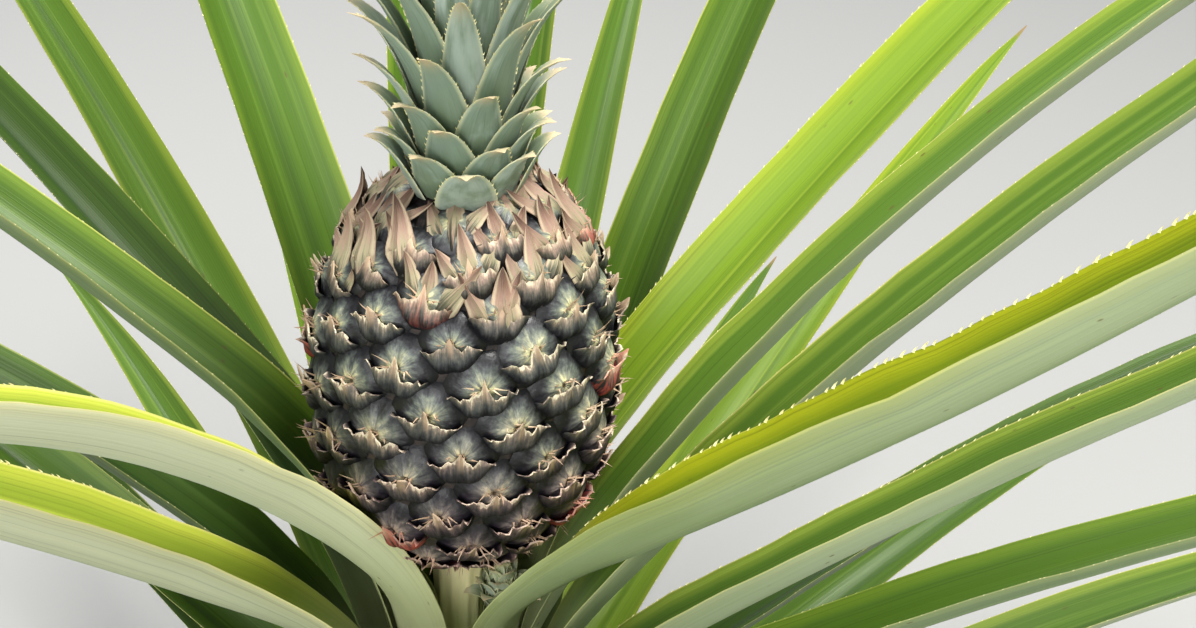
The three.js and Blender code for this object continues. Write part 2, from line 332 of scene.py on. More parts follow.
class Growth:
    # gathers the corners and faces of one piece
    sharpAngle = math.radians(48)

    def __init__(self):
        self.points, self.maps, self.faces, self.skins, self.marks = [], [], [], [], {}

    def mark(self, name, value, count):
        self.marks.setdefault(name, []).extend([value] * count)

    def addFace(self, corners, skin=0):
        self.faces.append(tuple(corners))
        self.skins.append(skin)

    def addTube(self, rows, maps, skinAt=lambda column: 0):
        # rows joined one to the next and each round to its own start
        first, count = len(self.points), len(rows[0])
        for row, mapRow in zip(rows, maps):
            self.points.extend(row)
            self.maps.extend(mapRow)
        for k in range(len(rows) - 1):
            for j in range(count):
                a = first + k * count + j
                b = first + k * count + (j + 1) % count
                self.addFace((a, b, b + count, a + count), skinAt(j))
        return first

    def addRound(self, rows):
        # a tube of rings with both ends capped
        levels, sides = len(rows) - 1, len(rows[0])
        maps = [[(j / sides, k / levels) for j in range(sides)] for k in range(levels + 1)]
        first = self.addTube(rows, maps)
        self.addFace(reversed(range(first, first + sides)))
        self.addFace(range(first + levels * sides, len(self.points)))

    def addBlade(self, rows, shares, skins=(0, 1)):
        # sections from the foot to the point, each the outer side and then the inner side back
        count = len(rows[0])
        half = count // 2
        maps = [[((u + 1) / 2, share) for u, _ in row] for row, share in zip(rows, shares)]
        first = self.addTube([[p for _, p in row] for row in rows], maps,
                             lambda column: skins[1] if half <= column < count - 1 else skins[0])
        last = first + (len(rows) - 1) * count
        for c in range(half - 1):
            self.addFace((first + count - 1 - c, first + count - 2 - c, first + c + 1, first + c), skins[0])
            self.addFace((last + c, last + c + 1, last + count - 2 - c, last + count - 1 - c), skins[0])
        return len(self.points) - first

    def mesh(self, name, skins=()):
        made = bpy.data.meshes.new(name)
        made.from_pydata([tuple(p) for p in self.points], [], self.faces)
        for skin in skins:
            made.materials.append(skin)
        made.polygons.foreach_set("material_index", self.skins)
        layer = made.uv_layers.new(name="leafMap")
        corners = [0] * len(made.loops)
        made.loops.foreach_get("vertex_index", corners)
        layer.data.foreach_set("uv", [value for corner in corners for value in self.maps[corner]])
        for markName, values in self.marks.items():
            made.attributes.new(markName, "FLOAT", "POINT").data.foreach_set("value", values)
        made.shade_smooth()
        made.set_sharp_from_angle(angle=self.sharpAngle)
        made.update()
        return made

    def piece(self, name, skins):
        return newObject(name, self.mesh(name, skins))


def bladeRow(keel, left, right, up, thickness, columns, blunt=0.10, belly=0.07):
    # one section of a gutter blade, blunt at the keel and full in its halves
    outer = []
    for c in range(-columns, columns + 1):
        u = c / columns
        margin = right if u > 0 else left
        lift = (margin - keel).length * (blunt * bell(u, 0.3) - belly * math.sin(math.pi * abs(u) ** 0.8))
        outer.append((u, keel.lerp(margin, abs(u)) + up * lift))
    inner = [(u, p + up * thickness * (1 - 0.8 * u * u)) for u, p in reversed(outer)]
    return outer + inner


def ringOf(middle, sides, radiusAt):
    # the corners of one ring of a round body
    ring = []
    for j in range(sides):
        angle = fullTurn * j / sides
        out = radiusAt(angle)
        ring.append(middle + Vector((out * math.cos(angle), out * math.sin(angle), 0)))
    return ring


def lineThrough(points, stops):
    # a smooth line that passes each point at its stop
    last = len(points) - 1
    slopes = []
    for k in range(last + 1):
        a, b = max(k - 1, 0), min(k + 1, last)
        slopes.append((points[b] - points[a]) / (stops[b] - stops[a]))

    def at(stop):
        k = min(max(bisect_right(stops, stop) - 1, 0), last - 1)
        span = stops[k + 1] - stops[k]
        t = (stop - stops[k]) / span
        return (points[k] * (2 * t**3 - 3 * t**2 + 1) + slopes[k] * (span * (t**3 - 2 * t**2 + t))
                + points[k + 1] * (3 * t**2 - 2 * t**3) + slopes[k + 1] * (span * (t**3 - t**2)))

    return at


def leafStations(nodeNames):
    # reads a leaf's sections from its solid: left margin, keel, right margin and the way up
    mergeReach = 0.0008  # joins the two halves of a parted leaf
    solid = bmesh.new()
    for name in nodeNames:
        solid.from_mesh(nodes[name].data)
    bmesh.ops.remove_doubles(solid, verts=solid.verts, dist=mergeReach)
    corners = [v for v in solid.verts if len(v.link_edges) == 4]
    tip = max(corners, key=lambda v: (v.co - onAxis(v.co.z)).length)
    rings, reached, front = [], {tip}, [tip]
    while front:
        rings.append([v.co.copy() for v in front])
        front = list({e.other_vert(v) for v in front for e in v.link_edges} - reached)
        reached.update(front)
    solid.free()
    rings.reverse()
    stations = []
    for ring, following in zip(rings, rings[1:]):
        ahead = sum(following, Vector()) / len(following) - sum(ring, Vector()) / 4
        pairs = [(a, b) for i, a in enumerate(ring) for b in ring[i + 1:]]
        margins = max(pairs, key=lambda pair: (pair[0] - pair[1]).length)
        middle = (margins[0] + margins[1]) / 2
        inner, outer = sorted((p for p in ring if p not in margins), key=lambda p: (p - middle).length)
        up = (inner - outer).normalized()
        rightward = up.cross(ahead)
        left, right = sorted(margins, key=lambda p: (p - middle).dot(rightward), reverse=True)
        stations.append((left, outer, right, up))
    end = rings[-1][0]
    stations.append((end, end, end, stations[-1][3]))
    return stations


def leafLines(nodeNames):
    # smooth lines of a leaf's left margin, keel, right margin and way up, and its length
    stations = leafStations(nodeNames)
    stops = [0.0]
    for before, after in zip(stations, stations[1:]):
        stops.append(stops[-1] + (after[1] - before[1]).length)
    return [lineThrough(points, stops) for points in zip(*stations)], stops[-1]


leafLook = {
    "rows": 74,            # sections along a leaf
    "columns": 7,          # columns from the keel to a margin
    "thickness": 0.0019,
    "waviness": 0.07,      # of the half width, at the margins
    "waves": (14, 41),     # how closely the broad and the fine waves follow, per metre
    "tipCut": 0.992,       # share of the length where the blunt point ends
}


def crowd(share):
    # sections stand closer near the foot and the point
    return share - 0.055 * math.sin(fullTurn * share)


def growLeaf(number, nodeNames, skins):
    look = leafLook
    (leftAt, keelAt, rightAt, upAt), length = leafLines(nodeNames)
    chance = random.Random(number * 17 + 3)
    shift = Vector((chance.uniform(0, 50), chance.uniform(0, 50), 0))
    rows, shares, margins = [], [], ([], [])
    for k in range(look["rows"]):
        share = crowd(k / (look["rows"] - 1)) * look["tipCut"]
        stop = share * length
        keel, up = keelAt(stop), upAt(stop).normalized()
        ends = []
        for side, at in enumerate((leftAt, rightAt)):
            reach = at(stop) - keel
            broad, fine = (noise.noise(Vector((stop * often, side * 9.0, depth)) + shift)
                           for often, depth in zip(look["waves"], (0, 5)))
            wave = broad + 0.5 * fine
            ends.append(keel + reach + up * reach.length * look["waviness"] * wave * ease(share, 0.05, 0.2))
        thickness = look["thickness"] * min(1, (ends[0] - keel).length / 0.008 + 0.08)
        rows.append(bladeRow(keel, *ends, up, thickness, look["columns"]))
        shares.append(share)
        size = ease(share, 0.07, 0.16) * (1 - ease(share, 0.93, 0.985))
        for line, end in zip(margins, ends):
            line.append((end + up * thickness * 0.1, (end - keel).normalized(), size))
    growth = Growth()
    count = growth.addBlade(rows, shares)
    growth.mark("leafLength", length, count)
    growth.mark("leafChance", chance.random(), count)
    piece = growth.piece(f"blade_{number:02d}", skins)
    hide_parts(*nodeNames)
    return piece, margins


# Tones of the leaves that the camera picks out; the others take turns. The two front leaves take the pale
# warm tone, painted sunlight.
toneOf = {
    48: "sunlit_cream", 40: "sunlit_cream", 45: "green", 32: "dark", 37: "dark", 42: "green", 31: "green",
    44: "bright", 41: "silver", 36: "silver", 46: "spiny", 33: "silver", 38: "bright",
}
toneTurns = ["green", "silver", "dark", "green", "bright", "silver", "green"]


def growLeaves():
    skins = {tone: [leafSkin(tone, "outer"), leafSkin(tone, "inner")] for tone in leafTones}
    pieces, margins = [], {}
    for number in range(1, 49):
        names = [name for name in sorted(nodes) if name.startswith(f"leaf_{number:02d}")]
        tone = toneOf.get(number, toneTurns[number % len(toneTurns)])
        piece, margins[number] = growLeaf(number, names, skins[tone])
        pieces.append(piece)
    print("leaves grown:", len(pieces))
    return pieces, margins


def newTree(name, **inputs):
    # a node tree with its geometry sockets and, by kind, its named inputs
    tree = bpy.data.node_groups.new(name, "GeometryNodeTree")
    tree.interface.new_socket("Geometry", in_out="OUTPUT", socket_type="NodeSocketGeometry")
    for kind, labels in {"Geometry": ["Geometry"], **inputs}.items():
        for label in labels:
            tree.interface.new_socket(label, in_out="INPUT", socket_type=f"NodeSocket{kind}")
    net = Net(tree)
    entry = net.node("NodeGroupInput")
    return tree, net, {socket.name: Wire(net, socket) for socket in entry.outputs if socket.name}


def endTree(net, geometry, skin):
    # realizes the instances, sets the skin and closes the tree
    whole = net.wire("GeometryNodeRealizeInstances", {0: geometry})
    whole = net.wire("GeometryNodeSetMaterial", {"Geometry": whole, "Material": skin})
    net.node("NodeGroupOutput", {0: whole})


def growByTree(name, carrierMesh, tree, values):
    # runs a tree on a carrier and keeps the outcome as a plain mesh piece
    carrier = newObject(name + "_carrier", carrierMesh)
    modifier = carrier.modifiers.new("grow", "NODES")
    modifier.node_group = tree
    for item in tree.interface.items_tree:
        if item.name in values:
            modifier[item.identifier] = values[item.name]
    graph = bpy.context.evaluated_depsgraph_get()
    made = bpy.data.meshes.new_from_object(carrier.evaluated_get(graph), preserve_all_data_layers=True,
                                           depsgraph=graph)
    carrier.modifiers.remove(modifier)
    bpy.data.objects.remove(carrier)
    made.name = name
    return newObject(name, made)


def spineTree():
    # forward hooked spines along margin lines
    tree, net, given = newTree("margin spines", Float=["Spacing", "Spine length", "Forward lean"],
                               Int=["Seed"], Material=["Skin"])
    line = net.wire("GeometryNodeMeshToCurve", {0: given["Geometry"]})
    line = net.wire("GeometryNodeResampleCurve", {"Curve": line, "Length": given["Spacing"]}, mode="LENGTH")
    tangent = net.wire("GeometryNodeInputTangent")
    outward = net.wire("GeometryNodeInputNamedAttribute", {"Name": "outward"}, data_type="FLOAT_VECTOR")
    size = net.wire("GeometryNodeInputNamedAttribute", {"Name": "spineSize"}, data_type="FLOAT")
    slide = net.scaled(tangent, net.chance(-0.42, 0.42, given["Seed"]) * given["Spacing"])
    line = net.wire("GeometryNodeSetPosition", {"Geometry": line, "Offset": slide})
    forward = net.scaled(tangent, given["Forward lean"])
    aim = net.wire("ShaderNodeVectorMath", {0: outward, 1: forward}, operation="ADD")
    turn = net.wire("FunctionNodeAlignRotationToVector", {"Vector": aim}, axis="Z")
    turn = net.wire("FunctionNodeAlignRotationToVector", {"Rotation": turn, "Vector": tangent},
                    axis="Y", pivot_axis="Z")
    thorn = net.wire("GeometryNodeMeshCone", {"Vertices": 4, "Side Segments": 2, "Radius Top": 0.02,
                                              "Radius Bottom": 0.30, "Depth": 1.0}, fill_type="NGON")
    height = net.split(net.wire("GeometryNodeInputPosition"))[2]
    hook = net.vector(y=height * height * 0.38)
    thorn = net.wire("GeometryNodeSetPosition", {"Geometry": thorn, "Offset": hook})
    scale = net.chance(0.55, 1.2, given["Seed"] + 5) * size * given["Spine length"]
    spines = net.wire("GeometryNodeInstanceOnPoints",
                      {"Points": line, "Instance": thorn, "Rotation": turn, "Scale": scale})
    endTree(net, spines, given["Skin"])
    return tree


spineLook = {
    "Spacing": 0.0052,
    "Spine length": 0.0025,
    "Forward lean": 0.9,
}
# Size of the spines on a leaf's left and right margin, and the share of the length where they set in.
leafSpines = {
    46: (1.05, 0.15, 0.1),
    48: (0.15, 0.85, 0.4),
    40: (0.15, 0.75, 0.3),
    33: (0.5, 0.2, 0.1),
    44: (0.5, 0.3, 0.1),
}
usualSpines = (0.32, 0.32, 0.1)


def marginLines(margins, numbers, usual=usualSpines):
    # the margins of these leaves as edges, with the way outward and the size of their spines
    points, edges, outward, sizes = [], [], [], []
    for number in numbers:
        *sideSizes, start = leafSpines.get(number, usual)
        for column, side in enumerate(margins[number]):
            first = len(points)
            points.extend(tuple(p) for p, _, _ in side)
            outward.extend(value for _, way, _ in side for value in way)
            sizes.extend(size * sideSizes[column % 2] * ease(k / len(side), start - 0.1, start + 0.1)
                         for k, (_, _, size) in enumerate(side))
            edges.extend((k, k + 1) for k in range(first, len(points) - 1))
    lines = bpy.data.meshes.new("margins")
    lines.from_pydata(points, edges, [])
    lines.attributes.new("outward", "FLOAT_VECTOR", "POINT").data.foreach_set("vector", outward)
    lines.attributes.new("spineSize", "FLOAT", "POINT").data.foreach_set("value", sizes)
    return lines


def growSpines(margins):
    skin = plainSkin("spine_horn", (0.86, 0.82, 0.46), (0.74, 0.64, 0.30), 0.45, 300)
    tree = spineTree()
    pieces, numbers, third = [], sorted(margins), 16
    for turn, level in enumerate(("lower", "middle", "upper")):
        lines = marginLines(margins, numbers[turn * third:(turn + 1) * third])
        piece = growByTree(f"spines_{level}", lines, tree, {**spineLook, "Seed": turn * 11, "Skin": skin})
        pieces.append(piece)
    print("spines grown")
    return pieces


# The fruit. Its eyes stand on the barrel in the golden spiral, smaller towards the crown.
fruitLook = {
    "eyes": 131,
    "firstTurn": math.radians(217.5),
    "eyeSize": 0.0262,
    "topSize": 0.78,
    "footSize": 0.90,
    "sink": 0.0032,        # how far the eyes' rims lie inside the barrel
    "footTaper": 0.06,     # how much narrower than the solid the fruit is at its foot
    "footLift": 0.03,      # share of the height that the lowest eyes are raised
    "shapes": 6,           # different shapes that the eyes are picked from
    "steps": 400,          # steps in which the barrel's outline is measured
    "eyeFlat": 0.94,       # an eye's height over its width
}


def barrel(risen):
    # half the fruit's outline, risen from 0 at the foot to 1: height share and radius share
    foot, shoulder, lowerSwell = 0.982, 0.975, 0.035
    level = math.cos(between(math.acos(foot), math.pi - math.acos(shoulder), risen))
    return (foot - level) / (foot + shoulder), (1 - abs(level) ** 2.4) ** 0.38 * (1 + lowerSwell * level)


def taperAt(height):
    return 1 - fruitLook["footTaper"] * (1 - ease(height, 0, 0.25))


def eyeSizeAt(height):
    grown = between(fruitLook["footSize"], 1, ease(height, 0.0, 0.25))
    return grown * between(1, fruitLook["topSize"], ease(height, 0.62, 1.0))


def eyePlaces():
    # how height, radius and slope run with the share of the eyes set, from the foot up
    steps = fruitLook["steps"]
    outline = [barrel(k / steps) for k in range(steps + 1)]
    filled, rows = 0.0, []
    for (z0, r0), (z1, r1) in zip(outline, outline[1:]):
        rise, run = (z1 - z0) * (fruitHigh.z - fruitLow.z), (r1 - r0) * fruitRadius
        height, radius = (z0 + z1) / 2, (r0 + r1) / 2
        filled += radius * math.hypot(rise, run) / eyeSizeAt(height) ** 2
        raised = between(fruitLook["footLift"], 1, height)
        rows.append((filled, raised, radius * taperAt(height), math.atan2(-run, rise)))
    return [(fill / filled, *rest) for fill, *rest in rows]


def curveOf(rows, column, scale=1.0, shift=0.0):
    # points for a Float Curve node: share of the eyes against one of the columns
    wanted = (0.0, 0.01, 0.03, 0.06, 0.1, 0.16, 0.24, 0.34, 0.45,
              0.56, 0.67, 0.77, 0.85, 0.91, 0.95, 0.98, 1.0)
    picked = []
    for share in wanted:
        row = min(rows, key=lambda entry: abs(entry[0] - share))
        picked.append((share, row[column] * scale + shift))
    return picked


def eyeTree():
    # instances of a collection's shapes on the golden spiral round the barrel
    tree, net, given = newTree(
        "spiral of eyes", Int=["Eyes", "Seed"], Collection=["Shapes"], Material=["Skin"],
        Float=["Turn", "First turn", "Foot", "Height", "Radius", "Eye size", "From share", "To share"])
    rows, steps, seed = eyePlaces(), fruitLook["steps"], given["Seed"]
    line = net.wire("GeometryNodeMeshLine", {"Count": given["Eyes"]})
    place = net.wire("GeometryNodeInputIndex")
    share = (place + 0.5) / given["Eyes"]
    risen = net.curve(curveOf(rows, 1), share)
    out = net.curve(curveOf(rows, 2, 0.9), share) / 0.9
    tilt = (net.curve(curveOf(rows, 3, 1 / math.pi, 0.5), share) - 0.5) * math.pi
    size = net.curve([(stop, eyeSizeAt(rows[min(int(stop * steps), steps - 1)][1]))
                      for stop in (0.0, 0.05, 0.1, 0.2, 0.3, 0.6, 0.7, 0.8, 0.9, 1.0)], share)
    angle = place * given["Turn"] + given["First turn"]
    height = given["Foot"] + given["Height"] * risen
    radius = given["Radius"] * out
    spot = net.vector(height * leanSlope + radius * net.maths("COSINE", angle),
                      radius * net.maths("SINE", angle), height)
    line = net.wire("GeometryNodeSetPosition", {"Geometry": line, "Position": spot})

    def rotation(*turns):
        return net.wire("FunctionNodeEulerToRotation", {0: net.vector(*turns)})

    wobble = net.chance(-0.09, 0.09, seed)
    stand = rotation(math.pi / 2 - tilt + wobble, 0.0, angle + math.pi / 2 + wobble * 0.7)
    roll = rotation(0.0, 0.0, net.chance(-0.2, 0.2, seed + 1))
    turn = net.wire("FunctionNodeRotateRotation", {"Rotation": stand, "Rotate By": roll},
                    rotation_space="LOCAL")
    chance = net.chance(0.0, 1.0, seed + 3)
    pick = net.wire("FunctionNodeRandomValue", {4: 0, 5: fruitLook["shapes"] - 1, "Seed": seed + 8}, 2,
                    data_type="INT")
    low = net.maths("GREATER_THAN", share, given["From share"])
    high = net.maths("LESS_THAN", share, given["To share"])
    shapes = net.wire("GeometryNodeCollectionInfo",
                      {"Collection": given["Shapes"], "Separate Children": True, "Reset Children": True})
    girth = size * given["Eye size"] * (0.95 + chance * 0.1)
    eyes = net.wire("GeometryNodeInstanceOnPoints", {
        "Points": line, "Selection": low * high, "Instance": shapes, "Pick Instance": True,
        "Instance Index": pick, "Rotation": turn, "Scale": net.vector(girth, girth * 1.07, girth)})
    kept = {"Geometry": eyes, "Name": "eyeChance", "Value": chance}
    eyes = net.wire("GeometryNodeStoreNamedAttribute", kept, data_type="FLOAT", domain="INSTANCE")
    endTree(net, eyes, given["Skin"])
    return tree


def eyeReach(angle):
    # outline of an eye, a soft hexagon with flat top and foot
    return 1 + 0.055 * math.cos(6 * angle)


def domeAt(x, y, lift=0.16, fullness=2.8):
    # height of an eye's shield over the barrel, in eye widths
    rho = math.hypot(x, y / fruitLook["eyeFlat"]) * 2 / eyeReach(math.atan2(y, x))
    return lift * (1 - rho**fullness) if rho < 1 else lift * (1 - rho) * 3.6


shieldLook = {
    "sides": 26,
    "rings": (1.1, 1.0, 0.94, 0.87, 0.78, 0.67, 0.54, 0.4, 0.28, 0.18, 0.1, 0.03),  # shares of the radius
    "seams": (92, 208, 330),     # degrees at which the sepals meet
    "seamWidth": 12,
    "seamDepth": 0.028,
    "navelDepth": 0.035,
    "lipHeight": 0.03,           # of the ring round the navel
    "lumpHeight": 0.02,
    "fluteHeight": 0.022,
}


def eyeShield(seed, skins):
    # the rounded shield of an eye with its sepal seams and navel
    look = shieldLook
    chance = random.Random(seed)
    rows, maps, sides = [], [], look["sides"]
    seams = [angle + chance.uniform(-12, 12) for angle in look["seams"]]
    for rho in look["rings"]:
        row, mapRow = [], []
        for j in range(sides):
            angle = fullTurn * j / sides
            reach = rho * eyeReach(angle) * 0.5
            x, y = reach * math.cos(angle), reach * math.sin(angle) * fruitLook["eyeFlat"]
            seam = max(bell((math.degrees(angle) - at + 180) % 360 - 180, look["seamWidth"]) for at in seams)
            seam *= ease(rho, 0.1, 0.35) * (1 - ease(rho, 0.75, 1))
            lump = noise.noise(Vector((x * 7, y * 7, seed * 3.1)))
            flute = noise.noise(Vector((math.cos(angle) * 3, math.sin(angle) * 3, seed * 5.3)))
            flute *= ease(rho, 0.1, 0.5)
            z = domeAt(x, y) - look["seamDepth"] * seam - look["navelDepth"] * bell(rho, 0.12)
            z += look["lipHeight"] * bell(rho - 0.22, 0.10)
            z += (look["lumpHeight"] * lump + look["fluteHeight"] * flute) * (rho < 1)
            row.append(Vector((x, y, z)))
            mapRow.append((x + 0.5, y + 0.5))
        rows.append(row)
        maps.append(mapRow)
    growth = Growth()
    growth.addTube(rows, maps)
    growth.addFace(range(len(growth.points) - sides, len(growth.points)))
    return growth.mesh(f"shield_{seed}", skins)


def addHair(growth, root, way, bend, length, radius):
    # a fine three-sided hair that bends over
    point, rows = root.copy(), []
    for k in range(4):
        thick = radius * (1 - k / 3.06)
        along = (way + bend * (k / 3) ** 1.5).normalized()
        side = along.orthogonal().normalized()
        rows.append([point + (Matrix.Rotation(fullTurn * j / 3, 3, along) @ side) * thick for j in range(3)])
        point = point + along * (length / 3)
    first = growth.addTube(rows, [[(0.5, 0.93)] * 3] * 4)
    growth.addFace((first + 2, first + 1, first))
    growth.addFace((first + 9, first + 10, first + 11))


bractLook = {
    "across": 22,
    "up": 7,
    "thickness": 0.026,
    "beakShift": (-0.08, 0.08),    # pairs are the least and the most
    "beakLength": (0.10, 0.24),
    "beakLift": (0.05, 0.2),
    "wing": (0.05, 0.15),          # how deep the edge is cut on each side of the beak
    "flare": (-0.02, 0.14),
    "hairs": 6,
    "hairLength": (0.14, 0.36),
    "hairRadius": 0.019,
}


def eyeBract(seed, skins):
    # the bract over an eye's lower half: papery free edge in two wings, beak between them
    look = bractLook
    chance = random.Random(seed + 40)
    across, up = look["across"], look["up"]
    beakShift, beakLength = chance.uniform(*look["beakShift"]), chance.uniform(*look["beakLength"])
    beakLift = chance.uniform(*look["beakLift"])
    wings = [chance.uniform(*look["wing"]) for _ in range(2)]
    flare = [chance.uniform(*look["flare"]) for _ in range(2)]
    ragged = [0.08 * noise.noise(Vector((j * 0.45, seed * 7.7, 0))) + chance.uniform(-0.016, 0.016)
              for j in range(across + 1)]

    def corner(j, t, sunk):
        s = (j / across * 2 - 1) * 0.99
        half = int(s > 0)
        beak = bell(s - beakShift, 0.11)
        tip = ease(abs(s), 0.72, 1)
        notch = wings[half] * math.sin(math.pi * abs(s) ** 0.85)
        edge = 0.03 - 0.07 * tip - notch + beakLength * beak + ragged[j]
        x = s * 0.5 * (1 - 0.06 * beak * t + flare[half] * tip * t)
        y = between(-0.49 * math.sqrt(1 - s * s * 0.97), edge, t)
        curl = (0.03 + ragged[-j - 1] + 0.09 * tip) * t**4 + beakLift * beak * t**3
        keel = 0.035 * bell(s - beakShift, 0.16) * ease(t, 0.1, 0.6)
        z = domeAt(x, min(y, 0.05), 0.17, 7) + 0.05 * ease(t, 0, 0.25) + curl + keel
        return Vector((x, y, z - sunk - 0.03 * (1 - ease(t, 0, 0.2))))

    columns, shares = range(across + 1), [k / up for k in range(up + 1)]
    # the two sheets run round as one closed skin
    fold = [(j, 0.0) for j in columns] + [(j, look["thickness"]) for j in reversed(columns)]
    rows = [[(j / across * 2 - 1, corner(j, t, sunk)) for j, sunk in fold] for t in shares]
    growth = Growth()
    growth.addBlade(rows, shares, (0, 0))
    for _ in range(look["hairs"]):
        root = Vector((chance.uniform(-0.16, 0.16), chance.uniform(-0.02, 0.08), 0.15))
        way = Vector((root.x * 4 + chance.uniform(-0.4, 0.4), chance.uniform(-0.2, 0.9), 1)).normalized()
        bend = Vector((chance.uniform(-0.5, 0.5), chance.uniform(-0.3, 0.8), 0))
        addHair(growth, root, way, bend, chance.uniform(*look["hairLength"]), look["hairRadius"])
    return growth.mesh(f"bract_shape_{seed}", skins)


def freeBlade(growth, root, out, side, length, rise, halfWidth, fold, thickness, rows, columns,
              skins=(0, 1)):
    # a blade grown from its root: rise gives its angle above out, in degrees, along its length
    keel, sections, shares, tips = root.copy(), [], [], []
    lean, leastWidth = math.radians(fold), 0.00012
    for k in range(rows + 1):
        share = k / rows
        slope = math.radians(rise(share))
        along = out * math.cos(slope) + upward * math.sin(slope)
        inward = along.cross(side)
        width = max(halfWidth(share), leastWidth)
        left, right = (keel + side * (way * width * math.cos(lean)) + inward * (width * math.sin(lean))
                       for way in (-1, 1))
        thin = thickness * min(1, width / (thickness * 2.2))
        sections.append(bladeRow(keel, left, right, inward, thin, columns, 0.06, 0.1))
        shares.append(share)
        tips.append((left, right, (left - keel).normalized(), (right - keel).normalized()))
        keel = keel + along * (length / rows)
    return growth.addBlade(sections, shares, skins), tips


longBractLook = {
    "leans": (0.08, 0.5, -0.5),    # one blade for each
    "length": (1.0, 1.7),          # pairs are the least and the most
    "halfWidth": (0.36, 0.48),
    "curl": (5, 80),
    "fold": (-42, -14),
    "thickness": 0.03,
}


def longBract(seed, skins):
    # papery pointed blades from under the crown, folded along their keels, in eye widths
    look = longBractLook
    chance = random.Random(seed + 90)
    growth = Growth()
    for order, lean in enumerate(look["leans"]):
        smaller = 1 - 0.2 * order
        length = chance.uniform(*look["length"]) * smaller
        width = chance.uniform(*look["halfWidth"]) * smaller
        curl = chance.uniform(*look["curl"])
        lean *= chance.choice((1, -1))
        turn = Matrix.Rotation(chance.uniform(-0.22, 0.22) + lean, 3, "Z")
        root = Vector((chance.uniform(-0.1, 0.1) - lean * 0.3, -0.44 + 0.14 * order, 0.0))
        freeBlade(growth, root, turn @ Vector((0, 1, 0)), turn @ Vector((-1, 0, 0)), length,
                  lambda s: 44 - 62 * ease(s, 0, 0.5) + curl * s**2.2,
                  lambda s: width * (0.4 + 0.75 * ease(s, 0, 0.4)) * (1 - s) ** 0.8 + 0.003,
                  chance.uniform(*look["fold"]), look["thickness"], 10, 4, (0, 0))
    return growth.mesh(f"long_bract_{seed}", skins)


# Colours of the fruit. Upper and lower are the unripe top and the ripening foot of the barrel.
eyeTints = {
    # The shield ramps run from near black at an eye's rim, painted shade in the creases between the eyes, to
    # pale on the dome, a painted highlight.
    "shieldUpper": [(0.10, 0.005, 0.005, 0.007), (0.30, 0.023, 0.023, 0.027), (0.50, 0.068, 0.077, 0.073),
                    (0.68, 0.142, 0.160, 0.130), (0.86, 0.26, 0.27, 0.19), (1.0, 0.50, 0.49, 0.31)],
    "shieldLower": [(0.08, 0.004, 0.003, 0.006), (0.32, 0.018, 0.013, 0.020), (0.58, 0.052, 0.040, 0.049),
                    (0.80, 0.125, 0.097, 0.100), (1.0, 0.29, 0.23, 0.20)],
    "starUpper": (0.66, 0.61, 0.27),
    "starLower": (0.46, 0.30, 0.20),
    "navel": (0.09, 0.05, 0.02),
    "bractUpper": [(0.15, 0.005, 0.005, 0.008), (0.38, 0.028, 0.029, 0.034), (0.58, 0.066, 0.069, 0.064),
                   (0.76, 0.142, 0.126, 0.105), (0.92, 0.33, 0.26, 0.20), (1.0, 0.76, 0.68, 0.50)],
    "bractLower": [(0.15, 0.004, 0.003, 0.006), (0.44, 0.022, 0.014, 0.020), (0.68, 0.062, 0.042, 0.049),
                   (0.90, 0.20, 0.125, 0.115), (1.0, 0.60, 0.44, 0.36)],
    "bractTop": [(0.2, 0.008, 0.007, 0.007), (0.45, 0.08, 0.07, 0.05), (0.75, 0.28, 0.19, 0.145),
                 (1.0, 0.58, 0.46, 0.33)],
    "ridge": (0.66, 0.44, 0.28),
    "blush": (0.50, 0.07, 0.05),
    "longBract": [(0.0, 0.02, 0.02, 0.018), (0.20, 0.10, 0.105, 0.07), (0.40, 0.33, 0.30, 0.18),
                  (0.60, 0.35, 0.24, 0.175), (0.80, 0.22, 0.13, 0.09), (0.96, 0.07, 0.035, 0.024)],
    "paleSide": (0.66, 0.57, 0.38),
    "rosyStreak": (0.52, 0.29, 0.25),
    "darkStreak": (0.14, 0.10, 0.075),
    "brownEdge": (0.17, 0.09, 0.06),
}


def eyeWires(net):
    # what the fruit's skins share: map, blotches, an eye's chance, nearness to the top and to the crown
    place = net.objectPlace()
    height = net.split(place)[2]
    blotch = net.cloud(place, 3.0, 0.65, 380)
    broad = net.cloud(place, 2.0, scale=70)
    upper = (height + (broad - 0.5) * 0.05).within(fruitLow.z + 0.03, fruitLow.z + 0.12)
    papery = (height + (broad - 0.5) * 0.03).within(fruitHigh.z - 0.042, fruitHigh.z - 0.012)
    return *net.leafMap(), blotch, net.mark("eyeChance"), upper, papery


def shieldSkin():
    tints = eyeTints
    skin, net, coat = newSkin("eye_shield", Specular_IOR_Level=0.4, Coat_Weight=0.08)
    u, v, blotch, chance, upper, _ = eyeWires(net)
    x, y = u - 0.5, v - 0.5
    away = (x * x + y * y + 0.0001) ** 0.5
    streak = net.cloud((x / away * 2.6, y / away * 2.6, away * 3 + chance * 40), 3.0, 0.65)
    # darker towards the rim and lighter towards the middle: painted shade in the creases and a painted
    # highlight on the dome, broken by the streaks
    tint = (1 - (away * 2.04) ** 2.2 + (streak - 0.5) * 1.1 + (blotch - 0.5) * 0.7
            + (chance - 0.5) * 0.25 - 0.15)
    star = (1 - away.within(0.04, 0.21)) * (streak - 0.5).within(-0.10, 0.14)
    colour = net.paint(
        net.ramp(tint, *tints["shieldLower"]),
        (upper, net.ramp(tint, *tints["shieldUpper"])),
        (star * 0.8, net.blend(upper, tints["starLower"], tints["starUpper"])),
        ((1 - away.within(0.018, 0.045)) * 0.85, tints["navel"]))
    net.plug(0.5 + (blotch - 0.5) * 0.3, coat.inputs["Roughness"])
    dressSkin(net, coat, colour, streak + blotch * 0.5, 0.5, 0.0008)
    return skin


